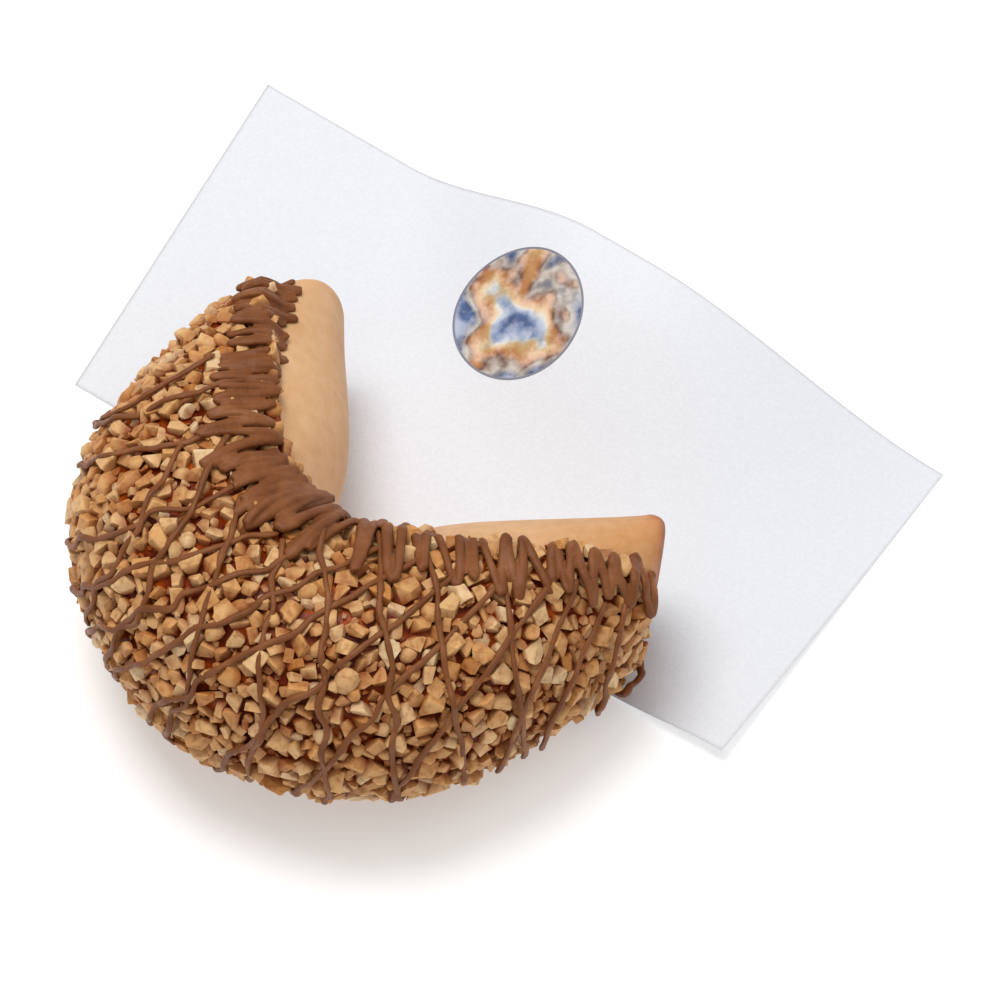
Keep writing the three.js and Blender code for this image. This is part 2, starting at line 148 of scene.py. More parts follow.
# A zigzag's band: places along the fold, and there its near and its far edge, as distances round the
# section from the dip line. It lies well out on the wafer at the far end, and is widest at the bend.
FRONT_BAND = (
    (-1, -0.85, -0.7, -0.6, -0.5, -0.3, -0.2, -0.1, 0.0, 0.06, 0.2, 0.28, 0.5, 0.65, 0.8, 0.9, 1),
    (-7, -6, -3.4, -3.2, -0.6, 2.8, 5.2, 6.5, 1.5, -6.5, -9, -4, 2.0, 1.4, -0.4, -3, -5),
    (6.5, 7.5, 9, 11, 12.5, 17, 20.5, 25, 27, 24, 17, 14, 14, 12.5, 10.2, 6, 4))
BACK_BAND = ((-1, -0.6, 0.3, 1), (-0.8, -0.8, -0.8, -0.8), (9, 12, 12, 9))

# ---- The fortune sheet ----
SHEET_LENGTH = 211.0
SHEET_WIDTH = 104.0
SHEET_THICK = 0.3
FAR_LEFT = np.array([-63.2, 113.17])
FAR_RIGHT = np.array([110.26, -6.52])
NEAR_LEFT = np.array([-110.26, 20.1])
NEAR_RIGHT = np.array([52.31, -87.23])
RIDGE_HEIGHT = 20.0
RIDGE_START = 45.0
RIDGE_RISE = 60.0
RIDGE_FALL = 90.0
RIDGE_FAN = 0.35
RIDGE_REACH = 74.0
CORNER_LIFT = 5.0
CORNER_START = 0.75
PRINT_PLACE = (97.0, 27.5)  # the round print's middle, along and across the sheet
PRINT_RADIUS = 17.6

# ---- Camera ----
AIM = np.array([-1.7, -13.82, 0.0])
CAMERA_RISE = math.radians(60.0)
CAMERA_DISTANCE = 1240.0
VIEW_WIDTH = 252.0  # of the floor, across the picture at the aim
TOWARDS = np.array([0.0, -math.cos(CAMERA_RISE), math.sin(CAMERA_RISE)])  # from the aim to the camera
UPWARDS = np.array([0.0, math.sin(CAMERA_RISE), math.cos(CAMERA_RISE)])  # up in the picture


# ---- Small tools ----

def soft_step(x):
    """0 up to 0, 1 from 1 on, and 3x^2 - 2x^3 between."""
    x = np.clip(x, 0, 1)
    return x * x * (3 - 2 * x)


def unit(v):
    """Vectors divided by their lengths."""
    return v / (np.linalg.norm(v, axis=-1, keepdims=True) + 1e-12)


def waves(a, b, seed, amount, finest):
    """A smooth unevenness over two coordinates: a sum of eight sine waves in seeded directions, each
    with a pace of 0.35 to 1 of the finest, in radians a unit."""
    random = np.random.default_rng(seed)
    total = 0.0
    for _ in range(8):
        pace = finest * (0.35 + 0.65 * random.random())
        heading = TURN * random.random()
        shift = TURN * random.random()
        total = total + np.sin(pace * (a * math.cos(heading) + b * math.sin(heading)) + shift)
    return amount * total / 8 ** 0.5


def grid_faces(rows, columns, round_rows=False, round_columns=False):
    """Four-sided faces of a grid of rows x columns points, closed round either way if asked."""
    i = np.arange(rows if round_rows else rows - 1)[:, None]
    j = np.arange(columns if round_columns else columns - 1)[None, :]
    i2 = (i + 1) % rows
    j2 = (j + 1) % columns
    corners = [i * columns + j, i2 * columns + j, i2 * columns + j2, i * columns + j2]
    return np.stack([c + 0 * i + 0 * j for c in corners], -1).reshape(-1, 4)


def slab(upper, lower):
    """A closed slab's points and faces: an upper grid, a lower one, and the strip round their edges."""
    rows, columns = upper.shape[:2]
    count = rows * columns
    quads = grid_faces(rows, columns)
    index = np.arange(count).reshape(rows, columns)
    rim = np.concatenate([index[:, 0], index[-1, 1:], index[-2::-1, -1], index[0, -2:0:-1]])
    after = np.roll(rim, -1)
    strip = np.stack([after, rim, rim + count, after + count], -1)
    return (np.concatenate([upper.reshape(-1, 3), lower.reshape(-1, 3)]),
            np.concatenate([quads[:, ::-1], quads + count, strip]))


def joined(groups):
    """Several groups' points and faces as one mesh's."""
    points, faces, start = [], [], 0
    for group_points, group_faces in groups:
        points.append(group_points)
        faces.append(group_faces + start)
        start += len(group_points)
    return np.concatenate(points), np.concatenate(faces)


def new_object(name, data):
    """An object of this data, linked to the scene."""
    thing = bpy.data.objects.new(name, data)
    bpy.context.collection.objects.link(thing)
    return thing


def put_in_scene(name, points, faces, material, values=None, uv=None):
    """Makes a smooth mesh object of points in millimetres and faces with equal numbers of corners.
    values holds named numbers, one for each point, and uv one pair for each point."""
    mesh = bpy.data.meshes.new(name)
    faces = np.ascontiguousarray(faces, dtype=np.int32)
    mesh.vertices.add(len(points))
    mesh.vertices.foreach_set("co", (points * MM).astype(np.float32).ravel())
    mesh.loops.add(faces.size)
    mesh.loops.foreach_set("vertex_index", faces.ravel())
    mesh.polygons.add(len(faces))
    mesh.polygons.foreach_set("loop_start", np.arange(0, faces.size, faces.shape[1], dtype=np.int32))
    mesh.polygons.foreach_set("use_smooth", np.ones(len(faces), bool))
    mesh.update(calc_edges=True)
    for key, numbers in (values or {}).items():
        mesh.attributes.new(key, "FLOAT", "POINT").data.foreach_set("value", numbers.astype(np.float32))
    if uv is not None:
        layer = mesh.uv_layers.new(name="UVMap")
        layer.data.foreach_set("uv", uv[faces.ravel()].astype(np.float32).ravel())
    mesh.materials.append(material)
    piece = new_object(name, mesh)
    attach(piece, "root")
    return piece


# ---- The cookie's surface ----

def fold_heading(u):
    """The fold's direction: two straight horns with an even turn between them."""
    x = np.clip(u / BEND_SPAN, -1, 1)
    return np.radians(BEND_HEADING + (90 - NOTCH_ANGLE / 2) * (1.5 * x - 0.5 * x ** 3))


def fold_line():
    """The fold's middle line, its heading summed up in short steps either way from the bend."""
    steps = 200
    middles = (np.arange(steps) + 0.5) / steps
    halves = []
    for sign, reach in ((-1, FAR_HORN), (1, RIGHT_HORN)):
        heading = fold_heading(sign * middles)
        step = np.stack([np.cos(heading), np.sin(heading)], -1) * sign * reach / steps
        halves.append(np.cumsum(step, axis=0))
    return np.linspace(-1, 1, 2 * steps + 1), np.concatenate([halves[0][::-1], [[0, 0]], halves[1]])


FOLD_LEVELS, FOLD_POINTS = fold_line()


def pinch(u):
    """How strongly the fold is crushed: a bell curve over the bend."""
    return np.exp(-((u / PINCH_SPAN) ** 2))


def arch_depth(u):
    """How far the seam stands from the fold: a rounded arch, a superellipse of ARCH_POWER."""
    reach = np.where(u < 0, ARCH_REACH_FAR, ARCH_REACH_RIGHT)
    return BODY_DEPTH * (1 - np.clip(reach * np.abs(u), 0, 0.999) ** ARCH_POWER) ** (1 / ARCH_POWER)


def fold_radius(u):
    """The fold is crushed at the bend, fuller halfway along the far horn and flared at the right."""
    swell = np.where(u < 0, FOLD_SWELL * np.sin(math.pi * np.clip(-u, 0, 1)) ** 3, FOLD_FLARE * u * u)
    return FOLD_RADIUS - FOLD_PINCH * pinch(u) + swell


def half_thickness(u):
    """Half the thickness: a power of a parabola on top of what it is at the horns' ends."""
    return HORN_HALF + (BODY_HALF - HORN_HALF) * np.maximum(0, 1 - u * u) ** SWELL_POWER


def section(u, angle, grow):
    """The section across the fold: its depth goes as the angle's cosine, and its height as the
    product of two powers of the depth's share, so that it is round at the fold and at the seam."""
    share = (1 - np.cos(angle)) / 2
    fold_power = FOLD_POWER + PINCH_POWER * pinch(u)
    peak = fold_power / (fold_power + SEAM_POWER)
    crown = peak ** fold_power * (1 - peak) ** SEAM_POWER
    profile = np.clip(share, 0, 1) ** fold_power * np.clip(1 - share, 0, 1) ** SEAM_POWER / crown
    inner = -(fold_radius(u) + grow)
    depth = inner + share * (arch_depth(u) + grow - inner)
    return depth, np.where(np.sin(angle) >= 0, 1, -1) * (half_thickness(u) + grow) * profile


def rotation(axis, degrees):
    """The matrix of a turn about one of the three axes."""
    c, s = math.cos(math.radians(degrees)), math.sin(math.radians(degrees))
    if axis == "z":
        return np.array([[c, -s, 0], [s, c, 0], [0, 0, 1]])
    return np.array([[c, 0, s], [0, 1, 0], [-s, 0, c]])


LIE = rotation("z", SWING - BEND_HEADING) @ rotation("y", TILT) @ rotation("z", BEND_HEADING)


def cookie(u, angle, grow):
    """The cookie's surface: the section stands on the fold line, and the whole lies on its side."""
    u, angle, grow = np.broadcast_arrays(np.asarray(u, float), angle, grow)
    depth, height = section(u, angle, grow)
    outwards = fold_heading(u) - math.pi / 2
    x = np.interp(u, FOLD_LEVELS, FOLD_POINTS[:, 0]) + depth * np.cos(outwards)
    y = np.interp(u, FOLD_LEVELS, FOLD_POINTS[:, 1]) + depth * np.sin(outwards)
    return np.stack([x, y, height], -1) @ LIE.T + BEND_PLACE


def cookie_frame(u, angle, grow):
    """Where a point of the surface is, the two slopes there and the direction out of it."""
    small = 0.004
    along = (cookie(u + small, angle, grow) - cookie(u - small, angle, grow)) / (2 * small)
    round_ = (cookie(u, angle + small, grow) - cookie(u, angle - small, grow)) / (2 * small)
    return cookie(u, angle, grow), along, round_, unit(np.cross(round_, along))


def mouth_reach(angle, level):
    """An open end leans back towards the seam, and the right one has a rounded corner at the fold."""
    share = (1 - np.cos(angle)) / 2
    corner = np.where(level > 0, MOUTH_LEAN * np.exp(-(share / LEAN_SPAN) ** 2), 0)
    return 1 - MOUTH_SLANT * share ** 2 - corner


# ---- The sheet's surface ----

def sheet(along, across, lift):
    """The sheet: flat but for a soft wave, which dies out towards the cookie, and a raised corner. In
    plan it is an even mix of its four corners."""
    along, across = np.broadcast_arrays(along, across)
    x, y = (along / SHEET_LENGTH)[..., None], (across / SHEET_WIDTH)[..., None]
    plan = (FAR_LEFT * (1 - x) + FAR_RIGHT * x) * (1 - y) + (NEAR_LEFT * (1 - x) + NEAR_RIGHT * x) * y
    start = RIDGE_START + RIDGE_FAN * across
    wave = soft_step((along - start) / RIDGE_RISE) * soft_step((SHEET_LENGTH - along) / RIDGE_FALL)
    lifted = soft_step((along / SHEET_LENGTH - CORNER_START) / (1 - CORNER_START))
    corner = (lifted * across / SHEET_WIDTH) ** 2
    height = RIDGE_HEIGHT * wave * (1 - soft_step(across / RIDGE_REACH)) + CORNER_LIFT * corner + lift
    return np.concatenate([plan, height[..., None]], axis=-1)


def ground_under(points):
    """The height of what the cookie lies on: the floor, or the sheet's top where there is sheet. A
    place's share along and across the sheet is found by solving for each in turn."""
    place = points[..., :2]
    x = np.full(place.shape[:-1] + (1,), 0.5)

    def share(start, end, start_beyond, end_beyond, other):
        away = place - (start * (1 - other) + start_beyond * other)
        reach = (end - start) * (1 - other) + (end_beyond - start_beyond) * other
        return np.sum(away * reach, -1, keepdims=True) / np.sum(reach ** 2, -1, keepdims=True)

    for _ in range(6):
        y = share(FAR_LEFT, NEAR_LEFT, FAR_RIGHT, NEAR_RIGHT, x)
        x = share(FAR_LEFT, FAR_RIGHT, NEAR_LEFT, NEAR_RIGHT, y)
    x, y = x[..., 0], y[..., 0]
    on_sheet = (x > -0.01) & (x < 1.01) & (y > -0.01) & (y < 1.01)
    top = sheet(np.clip(x, 0, 1) * SHEET_LENGTH, np.clip(y, 0, 1) * SHEET_WIDTH, SHEET_THICK)[..., 2]
    return np.where(on_sheet, top + ON_SHEET, ON_FLOOR)


def rest_on_ground(points):
    """Flattens what would reach below the ground."""
    points[..., 2] = np.maximum(points[..., 2], ground_under(points))
    return points


# ---- Finishes ----

def colour(red, green, blue):
    """A screen colour, 0 to 255, as linear light."""
    parts = [c / 255 for c in (red, green, blue)]
    return tuple(c / 12.92 if c <= 0.04045 else ((c + 0.055) / 1.055) ** 2.4 for c in parts) + (1.0,)


def add_node(tree, kind, **settings):
    """A shader node, with settings for its own properties or for its inputs."""
    node = tree.nodes.new("ShaderNode" + kind)
    for key, value in settings.items():
        if hasattr(node, key):
            setattr(node, key, value)
        else:
            node.inputs[key.replace("_", " ")].default_value = value
    return node


class Finish:
    """A material, its Principled shader and short ways to add and link nodes."""

    def __init__(self, name, **values):
        self.material = bpy.data.materials.new(name)
        self.material.use_nodes = True
        self.tree = self.material.node_tree
        self.shader = self.tree.nodes["Principled BSDF"]
        for key, value in values.items():
            self.shader.inputs[key.replace("_", " ")].default_value = value

    def node(self, kind, **settings):
        return add_node(self.tree, kind, **settings)

    def feed(self, socket, item):
        """Gives a socket a number, a colour or another socket's output."""
        if isinstance(item, bpy.types.NodeSocket):
            self.tree.links.new(item, socket)
        else:
            socket.default_value = item

    def place(self):
        """Object coordinates."""
        return self.node("TexCoord").outputs["Object"]

    def value(self, name):
        """A number that the mesh holds for each point."""
        return self.node("Attribute", attribute_name=name).outputs["Fac"]

    def ramp(self, factor, stops):
        """Screen colours at given places, even between them."""
        node = self.node("ValToRGB")
        while len(node.color_ramp.elements) < len(stops):
            node.color_ramp.elements.new(0.5)
        for element, (position, shade) in zip(node.color_ramp.elements, stops.items()):
            element.position = position
            element.color = colour(*shade)
        self.feed(node.inputs["Fac"], factor)
        return node.outputs["Color"]

    def mix(self, factor, first, second, blend="MIX"):
        """Two colours mixed by a factor; each may be a colour or a socket."""
        node = self.node("Mix", data_type="RGBA", blend_type=blend)
        for key, item in (("Factor", factor), (6, first), (7, second)):
            self.feed(node.inputs[key], item)
        return node.outputs[2]

    def sums(self, operation, *items, kind="Math", **settings):
        """Numbers or vectors put together; each may be a constant or a socket."""
        node = self.node(kind, operation=operation, **settings)
        for socket, item in zip(node.inputs, items):
            self.feed(socket, item)
        return node.outputs["Value" if operation == "LENGTH" else 0]

    def noise(self, scale, detail=3.0, where=None):
        """Soft noise over the object, scale in waves a metre."""
        node = self.node("TexNoise", Scale=scale, Detail=detail)
        self.feed(node.inputs["Vector"], where or self.place())
        return node.outputs["Fac"]

    def grain(self, **values):
        """The shared grain, with this finish's own values."""
        node = self.node("Group", node_tree=surface_grain())
        for key, value in values.items():
            node.inputs[key].default_value = value
        self.feed(node.inputs["Place"], self.place())
        return node.outputs

    def done(self, shade, normal):
        """Links the colour and the normal; returns the material."""
        self.feed(self.shader.inputs["Base Color"], shade)
        self.feed(self.shader.inputs["Normal"], normal)
        return self.material


def surface_grain():
    """Grain that several finishes share: two sizes of noise as a normal, and a mask of its hollows."""
    fine_share, hollows = 0.45, (0.58, 0.86)
    if "surface_grain" in bpy.data.node_groups:
        return bpy.data.node_groups["surface_grain"]
    group = bpy.data.node_groups.new("surface_grain", "ShaderNodeTree")
    for name, side, kind in (("Place", "INPUT", "Vector"), ("Fine", "INPUT", "Float"),
                             ("Coarse", "INPUT", "Float"), ("Height", "INPUT", "Float"),
                             ("Normal", "OUTPUT", "Vector"), ("Hollows", "OUTPUT", "Float")):
        group.interface.new_socket(name, in_out=side, socket_type="NodeSocket" + kind)
    start = group.nodes.new("NodeGroupInput").outputs
    end = group.nodes.new("NodeGroupOutput").inputs
    link = group.links.new
    total = add_node(group, "Math", operation="MULTIPLY_ADD")
    total.inputs[1].default_value = fine_share
    for size, socket in (("Fine", total.inputs[0]), ("Coarse", total.inputs[2])):
        noise = add_node(group, "TexNoise", Detail=4.0)
        link(start["Place"], noise.inputs["Vector"])
        link(start[size], noise.inputs["Scale"])
        link(noise.outputs["Fac"], socket)
    bump = add_node(group, "Bump", Strength=1.0)
    link(start["Height"], bump.inputs["Distance"])
    link(total.outputs[0], bump.inputs["Height"])
    link(bump.outputs["Normal"], end["Normal"])
    mask = add_node(group, "MapRange", From_Min=hollows[0], From_Max=hollows[1])
    link(total.outputs[0], mask.inputs["Value"])
    link(mask.outputs["Result"], end["Hollows"])
    return group


def wafer_finish():
    """Pale baked biscuit: blotches, finer specks, and darker where bake, a value of the mesh, is high."""
    finish = Finish("wafer_biscuit", Roughness=0.55, Subsurface_Weight=0.12, Subsurface_Scale=0.004,
                    Subsurface_Radius=(1.0, 0.5, 0.25))
    blotch = finish.ramp(finish.noise(38.0), {
        0.3: (208, 158, 108), 0.55: (218, 170, 120), 0.75: (224, 179, 131)})
    bake = finish.value("bake")
    baked = finish.ramp(bake, {
        0.0: (214, 169, 121), 0.45: (204, 145, 86), 0.8: (188, 110, 48), 1.0: (150, 82, 34)})
    browned = finish.sums("MINIMUM", finish.sums("MULTIPLY", bake, 2.2), 1.0)
    shade = finish.mix(browned, blotch, baked)
    grain = finish.grain(Fine=1500.0, Coarse=260.0, Height=0.0001)
    specks = finish.mix(grain["Hollows"], colour(180, 128, 82), colour(250, 222, 190))
    return finish.done(finish.mix(0.1, shade, specks), grain["Normal"])


def caramel_finish():
    """Glossy amber, deeper in soft patches of noise."""
    finish = Finish("caramel", Roughness=0.3, Coat_Weight=0.04, Coat_Roughness=0.1,
                    Specular_IOR_Level=0.12)
    shade = finish.ramp(finish.noise(170.0, 2.0), {
        0.3: (74, 18, 0), 0.5: (116, 38, 0), 0.72: (176, 78, 4)})
    return finish.done(shade, finish.grain(Fine=900.0, Coarse=260.0, Height=0.0006)["Normal"])


def peanut_finish():
    """Roasted peanut: a tint for each piece, veins of noise, and caramel creeping up from below, which is
    also painted shade and painted caramel-coloured bounce light on the pieces' lower sides.
    """
    finish = Finish("chopped_peanut", Roughness=0.48, Subsurface_Weight=0.15,
                    Subsurface_Scale=0.0015, Subsurface_Radius=(1.0, 0.6, 0.3), Coat_Weight=0.02,
                    Coat_Roughness=0.3, Specular_IOR_Level=0.15)
    tint = finish.ramp(finish.value("tint"), {
        0.0: (204, 142, 74), 0.1: (225, 172, 110), 0.5: (234, 188, 128), 0.85: (243, 205, 150),
        1.0: (250, 227, 184)})
    veins = finish.ramp(finish.noise(520.0, 4.0), {
        0.32: (182, 148, 114), 0.5: (242, 232, 220), 0.72: (255, 255, 252)})
    shade = finish.mix(0.66, tint, veins, blend="MULTIPLY")
    patchy = finish.sums("ADD", finish.noise(330.0, 2.0), 0.5)
    # Painted shade: each piece is mixed towards dark caramel brown near its base. This is partly real
    # caramel and partly shade and caramel-coloured bounce light between the pieces.
    creep_and_shade = finish.sums("MULTIPLY", finish.value("glaze_and_shade"), patchy)
    shade = finish.mix(creep_and_shade, shade, colour(134, 46, 0))
    return finish.done(shade, finish.grain(Fine=2600.0, Coarse=700.0, Height=0.00022)["Normal"])


def chocolate_finish():
    """Milk chocolate with a satin skin."""
    finish = Finish("milk_chocolate", Roughness=0.5, Specular_IOR_Level=0.22)
    shade = finish.ramp(finish.noise(120.0), {
        0.3: (114, 64, 31), 0.55: (130, 77, 42), 0.75: (148, 95, 59)})
    return finish.done(shade, finish.grain(Fine=900.0, Coarse=260.0, Height=0.00045)["Normal"])


def paper_finish():
    """White paper with a round marbled print in blue, amber and white with a thin grey rim."""
    finish = Finish("white_paper", Roughness=0.62)
    grain = finish.grain(Fine=3000.0, Coarse=1200.0, Height=0.00002)
    white = finish.mix(grain["Hollows"], colour(225, 227, 232), colour(230, 232, 237))

    uv = finish.node("UVMap", uv_map="UVMap").outputs["UV"]
    place = finish.sums("SUBTRACT", uv, (*PRINT_PLACE, 0), kind="VectorMath")
    place = finish.sums("SCALE", place, kind="VectorMath", Scale=1 / PRINT_RADIUS)
    radius = finish.sums("LENGTH", place, kind="VectorMath")
    outwards = finish.sums("MULTIPLY", radius, 0.75)
    swirl = finish.sums("MULTIPLY", finish.noise(1.2, 2.0, place), 2.3)
    bands = finish.sums("FRACT", finish.sums("ADD", outwards, swirl))
    marble = finish.ramp(bands, {
        0.0: (66, 88, 138), 0.16: (106, 134, 188), 0.32: (164, 182, 214), 0.4: (222, 216, 200),
        0.48: (232, 186, 112), 0.64: (216, 140, 56), 0.76: (128, 76, 38), 0.84: (190, 176, 160),
        1.0: (66, 88, 138)})
    cloud = finish.ramp(finish.noise(3.4, 5.0, place), {
        0.42: (40, 48, 74), 0.58: (240, 238, 234)})
    marble = finish.mix(0.36, marble, cloud)
    rim = finish.sums("GREATER_THAN", radius, 0.965)
    marble = finish.mix(rim, marble, colour(128, 128, 140))
    inside = finish.sums("LESS_THAN", radius, 1.0)
    return finish.done(finish.mix(inside, white, marble), grain["Normal"])


# ---- Wafer ----

def make_wafer(material):
    """A bent tube, closed round both ways: out along its outside, over a half-round lip, back along
    its inside and over the other lip. Its outside has a faint unevenness, and bake grows to the lips."""
    outside_rows, lip_rows, inside_rows, columns = 150, 7, 60, 144
    crowding = 1.2  # rows lie closer by the bend
    lip = WAFER_WALL / 2
    x = np.linspace(-1, 1, outside_rows)
    out_level = np.sign(x) * np.abs(x) ** crowding
    back_level = -np.linspace(-1, 1, inside_rows)
    half_turn = np.linspace(0, math.pi, lip_rows + 2)[1:-1]
    level = np.concatenate([out_level, np.ones(lip_rows), back_level, -np.ones(lip_rows)])
    grow = np.concatenate([np.zeros(outside_rows), -lip * (1 - np.cos(half_turn)),
                           np.full(inside_rows, -WAFER_WALL), -lip * (1 + np.cos(half_turn))])
    push = np.concatenate([np.zeros(outside_rows), np.sin(half_turn),
                           np.zeros(inside_rows), np.sin(half_turn)])
    angle = np.linspace(0, TURN, columns, endpoint=False)[None, :]
    horn = np.where(level < 0, FAR_HORN, RIGHT_HORN)
    shrunk = level * (1 - lip / horn) + np.sign(level) * push * lip / horn
    u = shrunk[:, None] * mouth_reach(angle, level[:, None])
    outer = (grow == 0)[:, None] * soft_step((1 - np.abs(u)) * 12)
    uneven = waves(80 * u, 14 * angle * np.sin(angle / 2), seed=3, amount=0.16, finest=0.16) * outer
    points = cookie(u, angle, grow[:, None] + uneven)

    end = ((1 - np.abs(shrunk)) * horn)[:, None]
    lip_bake = np.where(u > 0, LIP_BAKE_RIGHT, LIP_BAKE_FAR) * np.exp(-np.maximum(end, 0) / LIP_BAKE_DEPTH)
    horn_bake = HORN_BAKE_RIGHT * soft_step((u - 0.1) / 0.85) + HORN_BAKE_FAR * soft_step((-u - 0.7) / 0.3)
    inner = INSIDE_BAKE * (grow[:, None] < -0.1)
    blotches = waves(60 * u, 12 * angle, seed=8, amount=0.05, finest=0.3)
    bake = np.clip(horn_bake + lip_bake + inner + blotches, 0, 1)
    faces = grid_faces(len(level), columns, round_rows=True, round_columns=True)
    piece = put_in_scene("wafer_shell", points.reshape(-1, 3), faces[:, ::-1], material,
                         values={"bake": bake.ravel()})
    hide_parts("wafer")


# ---- Caramel ----

def gap_at(u):
    """The gap between the wafer and its coat: it widens with the fourth power of u."""
    return GAP * (1 + GAP_GROWTH * u ** 4)


def dip_angle(u):
    """Where the dip line crosses the section: its distance from the fold's middle line goes from the
    bend to the ends as a square root, with a sine's bow, and is turned into an angle."""
    near_end = np.where(u < 0, DIP_FAR, DIP_RIGHT)
    depth = DIP_BEND + (near_end - DIP_BEND) * np.sqrt(np.abs(u)) + DIP_BOW * np.sin(math.pi * np.abs(u))
    share = (depth + fold_radius(u)) / (arch_depth(u) + fold_radius(u))
    return np.arccos(1 - 2 * np.clip(share, 0, 0.93))


def coat_place(x, y):
    """A place on the coat: x runs from the far end to the right end, y from the front dip line over
    the arch to the one behind."""
    crowding = 1.25
    row = 2 * x - 1
    level = np.clip(np.sign(row) * np.abs(row) ** crowding, -DIP_END_FAR, DIP_END_RIGHT)
    start = dip_angle(level)
    angle = start + (TURN - 2 * start) * y
    return level * mouth_reach(angle, level), angle


def caramel_height(u, angle):
    """The caramel's own unevenness, about half a millimetre up and down."""
    return waves(70 * u, 34 * angle, seed=21, amount=0.35, finest=0.8)


def make_caramel(material):
    """A slab over the dipped side, thinner at its edges, drawn down to the ground at the foot."""
    rows, columns = 150, 130
    x = np.linspace(0, 1, rows)[:, None]
    y = np.linspace(0, 1, columns)[None, :]
    edge = np.clip(np.minimum(np.minimum(y, 1 - y) / 0.05, np.minimum(x, 1 - x) / 0.02), 0, 1)
    u, angle = coat_place(x, y)
    rounded = THIN_EDGE + (1 - THIN_EDGE) * np.sqrt(edge * (2 - edge))
    thick = CARAMEL * rounded + edge * caramel_height(u, angle)
    upper = cookie(u, angle, gap_at(u) + thick)
    lower = cookie(u, angle, gap_at(u))
    away = np.hypot(upper[..., 0] - FOOT_PLACE[0], upper[..., 1] - FOOT_PLACE[1])
    drawn = soft_step((FOOT_RADIUS + FOOT_RIM - away) / FOOT_FADE) * (upper[..., 2] < FOOT_TOP)
    upper[..., 2] *= 1 - drawn
    rest_on_ground(upper)[..., 2] -= FOOT_SINK
    return put_in_scene("caramel_layer", *slab(upper, lower), material)


# ---- Chopped peanuts ----

def chopped_forms(random, count, fine):
    """Small blocks and rounded kernels cut by slanting planes: the forms that all pieces repeat. Fine
    ones have broken edges too."""
    forms = []
    for k in range(count):
        form = bmesh.new()
        kernel = k % 4 == 0
        if kernel:
            bmesh.ops.create_icosphere(form, subdivisions=2 if fine else 1, radius=1.3)
        else:
            bmesh.ops.create_cube(form, size=2.0)
        for _ in range(random.integers(3, 6)):
            normal = unit(random.normal(size=3) * (1.0, 1.0, 0.8))
            distance = random.uniform(0.5, 0.95)
            everything = form.verts[:] + form.edges[:] + form.faces[:]
            bmesh.ops.bisect_plane(form, geom=everything, plane_co=normal * distance, plane_no=normal,
                                   clear_outer=True)
            bmesh.ops.holes_fill(form, edges=[e for e in form.edges if e.is_boundary], sides=0)
        bmesh.ops.remove_doubles(form, verts=form.verts[:], dist=0.06)
        if fine and not kernel:
            bmesh.ops.bevel(form, geom=form.edges[:], offset=random.uniform(0.06, 0.13), segments=1,
                            affect="EDGES", clamp_overlap=True, profile=0.5)
        bmesh.ops.triangulate(form, faces=form.faces[:])
        bmesh.ops.recalc_face_normals(form, faces=form.faces[:])
        form.verts.index_update()
        points = np.array([v.co[:] for v in form.verts])
        points = points + random.normal(0, 0.035, points.shape)
        faces = np.array([[v.index for v in f.verts] for f in form.faces])
        lowest_first = (np.argmin(faces, axis=1)[:, None] + np.arange(3)) % 3
        faces = np.take_along_axis(faces, lowest_first, axis=1)
        faces = faces[np.lexsort(faces.T)]  # so that every run is the same
        forms.append((points - (points.max(axis=0) + points.min(axis=0)) / 2, faces))
        form.free()
    return forms


